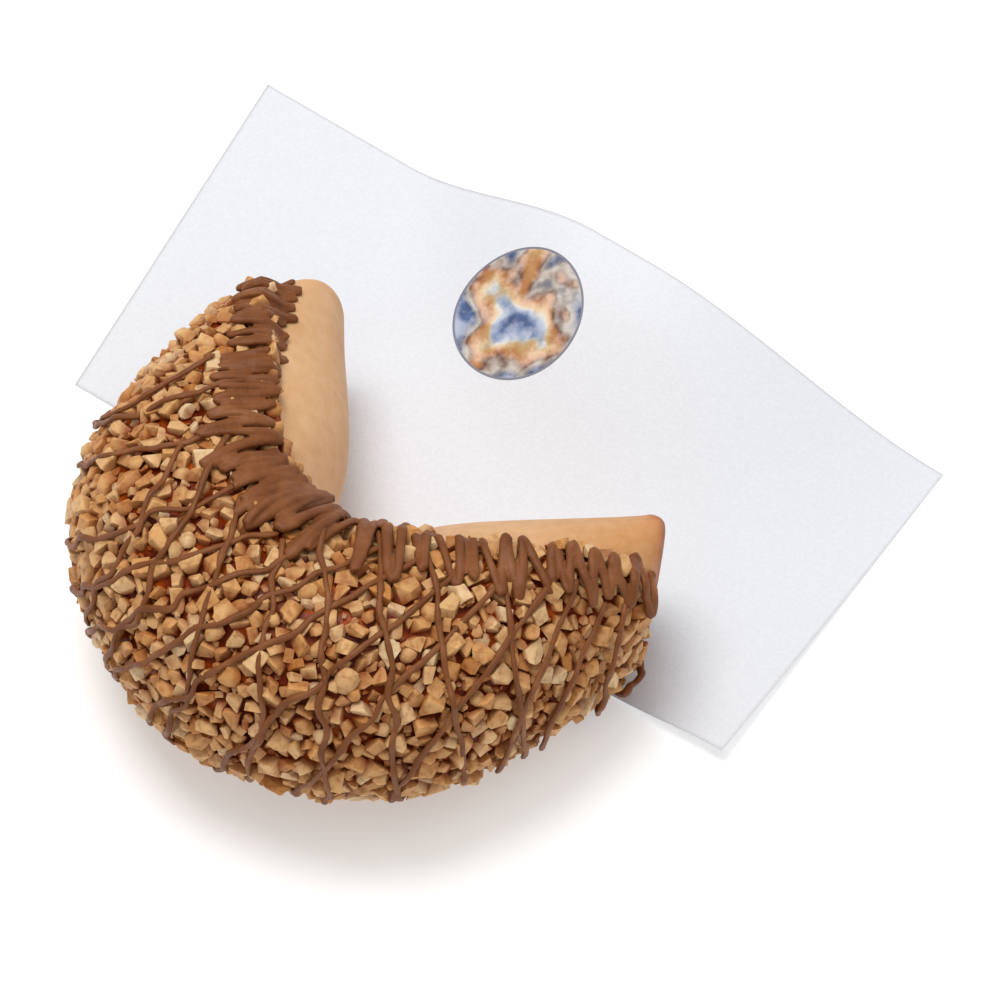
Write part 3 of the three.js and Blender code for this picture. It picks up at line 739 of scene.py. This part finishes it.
class Scatter:
    """Pieces thrown at the coat like darts: one stays where no earlier piece is too near."""

    rows, columns = 240, 200  # the grid on which the coat's area is measured
    height = 3.0  # above the wafer, where the area and the room are measured

    def __init__(self, random):
        self.random = random
        x, y = np.meshgrid((np.arange(self.rows) + 0.5) / self.rows,
                           (np.arange(self.columns) + 0.5) / self.columns, indexing="ij")
        u, angle = coat_place(x, y)
        _, along, round_, _ = cookie_frame(u, angle, self.height)
        step = 0.002
        u_x = (coat_place(x + step, y)[0] - coat_place(x - step, y)[0]) / (2 * step)
        angle_y = (coat_place(x, y + step)[1] - coat_place(x, y - step)[1]) / (2 * step)
        area = np.linalg.norm(np.cross(along, round_), axis=-1) * np.abs(u_x * angle_y)
        self.chance = np.cumsum(area.ravel()) / area.sum()
        self.x, self.y = x.ravel(), y.ravel()
        self.u, self.angle, self.radius = np.zeros((3, 0))
        self.centre = np.zeros((0, 3))

    def add(self, u, angle, radius):
        """Takes pieces in; returns their indices."""
        first = len(self.radius)
        for name, more in (("u", u), ("angle", angle), ("radius", radius),
                           ("centre", cookie(u, angle, self.height))):
            setattr(self, name, np.concatenate([getattr(self, name), more]))
        return np.arange(first, first + len(u))

    def throw(self, darts, largest, smallest, spacing, most):
        """Throws darts, the largest first; returns the indices of those that stay."""
        cell = np.searchsorted(self.chance, self.random.random(darts))
        x = np.clip(self.x[cell] + self.random.uniform(-0.5, 0.5, darts) / self.rows, 0.003, 0.997)
        y = np.clip(self.y[cell] + self.random.uniform(-0.5, 0.5, darts) / self.columns, 0.006, 0.994)
        y = np.where(x < BARE_UNTIL, np.maximum(y, BARE_EDGE), y)
        u, angle = coat_place(x, y)
        radius = np.linspace(largest, smallest, darts)
        centre = cookie(u, angle, self.height)
        first = len(self.radius)
        kept = np.concatenate([self.centre, np.zeros((most, 3))])
        sizes = np.concatenate([self.radius, np.zeros(most)])
        chosen = []
        for k in range(darts):
            n = first + len(chosen)
            room = np.sum((kept[:n] - centre[k]) ** 2, axis=1) - (spacing * (sizes[:n] + radius[k])) ** 2
            if (room > 0).all():
                kept[n] = centre[k]
                sizes[n] = radius[k]
                chosen.append(k)
                if len(chosen) == most:
                    break
        return self.add(u[chosen], angle[chosen], radius[chosen])

    def stray(self, count):
        """Adds a few pieces that lie on the wafer beyond the dip line, beside the bend."""
        u = self.random.uniform(*STRAY_ALONG, count)
        angle = walk_round(u, dip_angle(u), -self.random.uniform(*STRAY_OFF, count))
        return self.add(u, angle, self.random.uniform(*STRAY_RADIUS, count))


def turns(yaw, tilt, heading):
    """Rotation matrices: a turn about the third axis, then a tilt about a level axis at heading."""
    def about(angle, axis):
        c, s = np.cos(angle)[:, None, None], np.sin(angle)[:, None, None]
        cross = -np.cross(axis[:, None], np.eye(3))
        return np.eye(3) + s * cross + (1 - c) * (cross @ cross)

    up = np.tile([0.0, 0.0, 1.0], (len(yaw), 1))
    level = np.stack([np.cos(heading), np.sin(heading), 0 * heading], -1)
    return about(tilt, level) @ about(yaw, up)


def heap(level, place, span):
    """How much higher things stand by the bend: a bell curve over the fold."""
    return BEND_HEAP * np.exp(-(((level - place) / span) ** 2))


def lay_pieces(scatter, chosen, forms, random):
    """Lays one form on each chosen place: it is stretched, turned, and set into the caramel. Returns
    points, faces, and each point's tint and its glaze, which is also painted shade at the piece's base."""
    count = len(chosen)
    radius = scatter.radius[chosen]
    u, angle = scatter.u[chosen], scatter.angle[chosen]
    scale = np.stack([radius * random.uniform(*span, count) for span in NUT_STRETCH], -1)
    tilt = np.abs(random.normal(0, NUT_TILT, count))
    tilt += UPEND_TILT * (random.random(count) < UPENDED)
    turned = turns(random.uniform(0, TURN, count), tilt, random.uniform(0, TURN, count))
    on_coat = np.minimum(angle, TURN - angle) >= dip_angle(u) - 1e-6
    base = np.where(on_coat, gap_at(u) + CARAMEL + caramel_height(u, angle),
                    STRAY_BASE + heap(u, *STRAY_HEAP) * random.random(count))
    height = base + NUT_STAND * scale[:, 2] + random.uniform(-0.35, 0.4, count)
    centre, along, _, out = cookie_frame(u, angle, height)
    side = unit(along)
    basis = np.stack([side, np.cross(out, side), out], -1)
    tint = random.random(count)
    kind = random.integers(0, len(forms), count)
    groups, tints, glaze_and_shade_values = [], [], []
    for k, (form, form_faces) in enumerate(forms):
        here = np.flatnonzero(kind == k)
        local = np.einsum("nij,nvj->nvi", turned[here], form[None] * scale[here, None])
        placed = np.einsum("nij,nvj->nvi", basis[here], local) + centre[here, None]
        above = height[here, None] + local[..., 2] - base[here, None]
        first = np.arange(len(here))[:, None, None] * len(form)
        groups.append((placed.reshape(-1, 3), (form_faces[None] + first).reshape(-1, 3)))
        tints.append(np.repeat(tint[here], len(form)))
        # 1 at the caramel, fading up the piece: real glaze and painted shade
        glaze_and_shade_values.append(np.exp(-np.maximum(above, 0) / GLAZE_AND_SHADE_DEPTH).ravel())
    points, faces = joined(groups)
    return rest_on_ground(points), faces, {"tint": np.concatenate(tints), "glaze_and_shade": np.concatenate(glaze_and_shade_values)}


# ---- Chocolate ----

def relief_height(relief, u, angle):
    """How high the peanuts stand above the wafer, by rays that come in square to it, and the caramel's
    own height where a ray misses them."""
    far = 14.0
    start, _, _, out = cookie_frame(u, angle, far)
    heights = np.full(len(start), GAP + CARAMEL)
    for k, (place, inwards) in enumerate(zip(start, -out)):
        hit = relief.ray_cast(Vector(place), Vector(inwards), far)
        if hit[3] is not None:
            heights[k] = max(far - hit[3], heights[k])
    return heights


def highest_near(values, width):
    """The highest of an odd number of neighbours."""
    padded = np.pad(values, width // 2, mode="edge")
    return np.max([padded[k:k + len(values)] for k in range(width)], axis=0)


def smoothed(values, width):
    """A running mean over an odd number of values, the ends held."""
    padded = np.pad(values, width // 2, mode="edge")
    return np.convolve(padded, np.ones(width) / width, mode="valid")


def strand(u, angle, height, radius, seed, flatten=0.86, sides=12):
    """Rings of a flattened circle along a path over the cookie, uneven, rounded off and closed at each
    end, and flattened on the ground."""
    tip = 0.05
    path, _, _, out = cookie_frame(u, angle, height)
    rest_on_ground(path)
    tangent = unit(np.gradient(path, axis=0))
    side = unit(np.cross(tangent, out))
    up = np.cross(side, tangent)
    length = np.concatenate([[0], np.cumsum(np.linalg.norm(np.diff(path, axis=0), axis=1))])
    to_end = np.minimum(length, length[-1] - length) / radius
    rounded = radius * np.where(to_end < 1, np.sqrt(np.clip(to_end * (2 - to_end), 0.02, 1)), 1)
    turn = np.linspace(0, TURN, sides, endpoint=False)[None, :]
    uneven = waves(length[:, None] + 0 * turn, 2.2 * np.sin(turn), seed, amount=0.07, finest=1.6)
    size = rounded[:, None] * (1 + uneven)
    rings = (path[:, None] + side[:, None] * (size * np.cos(turn))[..., None]
             + up[:, None] * (size * flatten * np.sin(turn))[..., None])
    count = len(path)
    poles = np.stack([path[0] - tangent[0] * tip, path[-1] + tangent[-1] * tip])
    points = rest_on_ground(np.concatenate([rings.reshape(-1, 3), poles]))
    quads = grid_faces(count, sides, round_columns=True)
    body = np.concatenate([quads[:, [0, 1, 2]], quads[:, [0, 2, 3]]])
    ring = np.arange(sides)
    after = (ring + 1) % sides
    near = np.stack([np.full(sides, count * sides), ring, after], -1)
    last = (count - 1) * sides
    far = np.stack([np.full(sides, count * sides + 1), last + after, last + ring], -1)
    return points, np.concatenate([body, near, far])


def walk_round(u, angle, distance):
    """The angle a distance away round the section: the section's length is summed and read back."""
    span = np.linspace(-0.9, 2.0, 90)  # radians either way of the angle
    height = 2.0
    sweep = angle[:, None] + span[None]
    points = cookie(u[:, None], sweep, height)
    step = np.linalg.norm(np.diff(points, axis=1), axis=-1)
    length = np.concatenate([np.zeros((len(u), 1)), np.cumsum(step, axis=1)], axis=1)
    wanted = distance + np.array([np.interp(0, span, row) for row in length])
    return np.array([np.interp(want, row, line) for want, row, line in zip(wanted, length, sweep)])


def knotted(phase, ends, seed, amount):
    """A seeded random number for each whole turn of phase, eased from one to the next."""
    random = np.random.default_rng(seed)
    knots = random.uniform(-amount, amount, int(ends) + 4)
    before = np.clip(np.floor(phase).astype(int), 0, len(knots) - 2)
    share = soft_step(phase - before)
    return knots[before] * (1 - share) + knots[before + 1] * share


def zigzag(relief, side, loops, levels, pace, band, seed):
    """The thick piped strand: it swings across the dip line in loops, on the peanuts on one side and on
    the bare wafer on the other. A swing is the arcsine of a cosine, and the strand's pace, reach,
    thickness and height are each a little uneven."""
    places, near_edge, far_edge = band
    phase = np.linspace(0, loops, loops * POINTS_A_LOOP)

    def uneven(knots_a_loop, number, amount, shift=0.0):
        return knotted(knots_a_loop * phase + shift, knots_a_loop * loops, seed + number, amount)

    swing = np.cos(TURN * (phase + uneven(2, 6, 0.05)))
    swing = np.arcsin(ARCSINE * swing) / math.asin(ARCSINE)
    level = np.interp(phase + uneven(2, 0, 0.3) + uneven(5, 5, 0.1), pace, levels)
    level = np.clip(level + SLANT * (1 - swing) / 2 * soft_step(-4 * level), *STRAND_ENDS)
    far_side = np.interp(level, places, far_edge) * (1 + uneven(1, 1, 0.14, shift=0.5))
    near_side = np.interp(level, places, near_edge) + uneven(1, 2, 1.1)
    across = far_side + (near_side - far_side) * (1 + swing) / 2
    angle = np.clip(walk_round(level, dip_angle(level), across), 0.12, math.pi - 0.2)
    turned = side * angle
    on_coat = soft_step((across + 0.8) / 2.5)
    nuts = smoothed(highest_near(relief_height(relief, level, turned), 3), 5)
    below = smoothed(np.where(on_coat > 0, nuts, 0), 3) * on_coat
    thick = np.interp(level, STRAND_LEVELS, STRAND_RADII) * (1 + uneven(3, 4, 0.22))
    heaped = heap(level, *LOOP_HEAP) * (1 + swing) / 2
    height = smoothed(0.75 * thick + heaped + below - 0.25 * on_coat + uneven(4, 3, 0.8), 3)
    return strand(level, turned, height, thick, seed)


def picture_place(points):
    """Where points are seen: millimetres right of and above the aim, in the plane facing the camera."""
    from_aim = points - AIM
    nearness = CAMERA_DISTANCE / (CAMERA_DISTANCE - from_aim @ TOWARDS)
    return np.stack([from_aim[..., 0] * nearness, from_aim @ UPWARDS * nearness], -1)


def drizzle_line(relief, start, heading, view, seed):
    """A thin line: the surface's cut by the plane through the view and the heading, followed in short
    steps over the edge and a little under it."""
    most = 400
    plane = unit(np.cross(heading, view))
    u, angle = start
    places, hidden = [], 0
    while hidden < DRIZZLE_UNDER / DRIZZLE_STEP and len(places) < most:
        places.append((u, angle))
        _, along, round_, out = cookie_frame(np.array(u), np.array(angle), 3.5)
        ahead = unit(np.cross(out, plane))
        if len(places) == 1:
            sense = 1 if ahead @ heading > 0 else -1
        slopes = np.stack([along, round_], -1)
        du, da = np.linalg.lstsq(slopes, sense * ahead, rcond=None)[0]
        u = float(np.clip(u + DRIZZLE_STEP * du, *DRIZZLE_ENDS))
        angle = float(angle + DRIZZLE_STEP * da)
        hidden += out @ view < 0
    level, turned = np.array(places).T

    def uneven(steps, number, amount):
        return knotted(np.arange(len(level)) / steps, len(level) / steps, seed + number, amount)

    level, turned = level + uneven(9, 0, 0.007), turned + uneven(7, 3, 0.006)
    beside = ((0, 0), (0.009, 0), (-0.009, 0), (0, 0.022), (0, -0.022))
    tops = np.max([relief_height(relief, level + a, turned + b) for a, b in beside], axis=0)
    height = smoothed(highest_near(tops, 5), 7) + 0.05 + uneven(5, 1, 0.2)
    radius = DRIZZLE_RADIUS * (1 + uneven(4, 2, 0.22))
    return strand(level, turned, height, radius, seed, flatten=0.75, sides=8)


# Where each thin line leaves the zigzag, right of and above the aim, and its bearing: one lot runs
# down to the left, the other nearly straight down.
POURED = (
    (-78.1, 31.5, 209.7), (-69.3, 28.2, 197.5), (-74.3, 15.9, 191.7), (-69.3, 1.8, 198.4),
    (-63.8, -10.8, 195.0), (-60.2, -17.9, 199.7), (-35.8, -15.6, 204.6), (-25.5, -18.1, 209.6),
    (-12.1, -19.7, 218.3), (-1.8, -23.4, 224.6), (7.8, -27.7, 232.7), (16.1, -27.7, 246.8),
    (22.7, -33.0, 245.0), (29.0, -33.0, 256.0),
    (-82.9, 9.1, 241.5), (-70.8, 11.8, 242.8), (-67.5, -5.8, 254.5), (-56.4, -17.9, 263.9),
    (-44.6, -18.1, 270.9), (-30.5, -17.4, 275.5), (-17.1, -20.4, 280.1), (1.5, -26.0, 278.0),
)


def drizzle_lines(relief):
    """All thin lines as one mesh. Each starts at the grid point seen nearest to its place."""
    level, round_ = np.meshgrid(np.linspace(-0.95, 0.93, 400), np.linspace(0.2, 4.0, 400), indexing="ij")
    points, _, _, out = cookie_frame(level, round_, 4.0)
    seen = picture_place(points)
    facing = out @ TOWARDS > 0.05
    strands = []
    for k, (right, above, bearing) in enumerate(POURED):
        cosine, sine = math.cos(math.radians(bearing)), math.sin(math.radians(bearing))
        heading = np.array([cosine, 0, 0]) + sine * UPWARDS
        start = (right - DRIZZLE_BACK * cosine, above - DRIZZLE_BACK * sine)
        miss = np.where(facing, np.hypot(seen[..., 0] - start[0], seen[..., 1] - start[1]), np.inf)
        i, j = np.unravel_index(np.argmin(miss), miss.shape)
        view = unit(AIM + CAMERA_DISTANCE * TOWARDS - points[i, j])
        strands.append(drizzle_line(relief, (level[i, j], round_[i, j]), heading, view, 200 + 10 * k))
    return joined(strands)


# ---- Paper ----

def make_sheet(material):
    """The sheet's upper and lower surfaces and its thin edge, with a UV map in millimetres."""
    rows, columns = 180, 90
    along = np.linspace(0, SHEET_LENGTH, rows)[:, None]
    across = np.linspace(0, SHEET_WIDTH, columns)[None, :]
    upper = sheet(along, across, SHEET_THICK)
    lower = sheet(along, across, 0.0)
    flat = np.stack(np.broadcast_arrays(along, across), -1).reshape(-1, 2)
    clear_of_print = (0, 1000)
    piece = put_in_scene("paper_sheet", *slab(upper, lower), material,
                         uv=np.concatenate([flat, flat + clear_of_print]))
    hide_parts("fortune_sheet")


# ---- Everything that the coat is made of ----

def make_coat():
    """The caramel, the peanuts pressed into it, and the chocolate that lies on them."""
    caramel = make_caramel(caramel_finish())
    random = np.random.default_rng(NUT_SEED)
    scatter = Scatter(random)
    large, medium, small, crumbs = [scatter.throw(*numbers) for numbers in (LARGE, MEDIUM, SMALL, CRUMBS)]
    strays = scatter.stray(STRAYS)
    fine_forms = chopped_forms(random, count=36, fine=True)
    plain_forms = chopped_forms(random, count=24, fine=False)
    pieces = lay_pieces(scatter, np.concatenate([large, medium, strays]), fine_forms, random)
    bits = lay_pieces(scatter, np.concatenate([small, crumbs]), plain_forms, random)
    relief = BVHTree.FromPolygons(*[part.tolist() for part in joined([pieces[:2], bits[:2]])])

    peanut = peanut_finish()
    nuts = [put_in_scene(name, points, faces, peanut, values)
            for name, (points, faces, values) in (("peanut_pieces", pieces), ("peanut_crumbs", bits))]
    for piece in nuts:
        piece.data.set_sharp_from_angle(angle=math.radians(NUT_CREASE))

    chocolate = chocolate_finish()
    front = zigzag(relief, 1, 33, (-0.96, -0.26, 0.10, 0.93), (0, 14, 20, 33), FRONT_BAND, seed=40)
    bend = zigzag(relief, 1, 6, (-0.18, 0.07), (0, 6), FRONT_BAND, seed=50)
    back = zigzag(relief, -1, 22, (-0.95, 0.0, 0.93), (0, 11, 22), BACK_BAND, seed=60)
    piped = []
    for name, strands, grid in (("piped_zigzag", [front, bend], MELT_FRONT),
                                ("piped_zigzag_behind", [back], MELT_BACK)):
        piece = put_in_scene(name, *joined(strands), chocolate)
        melt = piece.modifiers.new("melt", "REMESH")
        melt.mode = "VOXEL"
        melt.voxel_size = grid * MM
        melt.use_smooth_shade = True
        settle = piece.modifiers.new("settle", "SMOOTH")
        settle.factor, settle.iterations = 0.35, 1
        piped.append(piece)
    thin = put_in_scene("drizzle_lines", *drizzle_lines(relief), chocolate)
    for piece in (caramel, *nuts, *piped, thin):
        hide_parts("caramel_nut_coat")


# ---- Floor, light and camera ----

def make_studio():
    """A white floor under two large soft lights, one of them behind, in a bright room."""
    reach, level = 3.0, -0.0002
    corners = [(x * reach, y * reach, level) for x, y in ((-1, -1), (1, -1), (1, 1), (-1, 1))]
    mesh = bpy.data.meshes.new("floor")
    mesh.from_pydata(corners, [], [(0, 1, 2, 3)])
    finish = Finish("floor_white", Roughness=0.8, Base_Color=(0.86, 0.86, 0.86, 1),
                    Emission_Color=(1, 1, 0.99, 1), Emission_Strength=0.34, Specular_IOR_Level=0.1)
    mesh.materials.append(finish.material)
    floor = new_object("floor", mesh)

    for name, place, size, power in (("key", (-0.26, 0.3, 1.46), 0.8, 13.3),
                                     ("top", (0.2, -0.1, 1.6), 1.4, 6.0)):
        light = bpy.data.lights.new(name, "AREA")
        light.shape, light.size, light.energy = "DISK", size, power
        lamp = new_object(name, light)
        lamp.location = place
        lamp.rotation_euler = (-Vector(place)).to_track_quat("-Z", "Y").to_euler()

    world = bpy.data.worlds.new("room")
    world.use_nodes = True
    background = world.node_tree.nodes["Background"]
    background.inputs["Color"].default_value = (1, 1, 1, 1)
    background.inputs["Strength"].default_value = 0.39
    bpy.context.scene.world = world
    bpy.context.scene.view_settings.view_transform = "Standard"


def make_camera():
    """The camera looks at AIM from the front, high above the floor."""
    camera = bpy.data.cameras.new("camera")
    camera.sensor_width = 36.0
    camera.lens = camera.sensor_width * CAMERA_DISTANCE / VIEW_WIDTH
    view = new_object("camera", camera)
    view.location = (AIM + TOWARDS * CAMERA_DISTANCE) * MM
    view.rotation_euler = Vector(-TOWARDS).to_track_quat("-Z", "Y").to_euler()
    bpy.context.scene.camera = view


make_camera()
make_studio()
make_wafer(wafer_finish())
make_sheet(paper_finish())
make_coat()
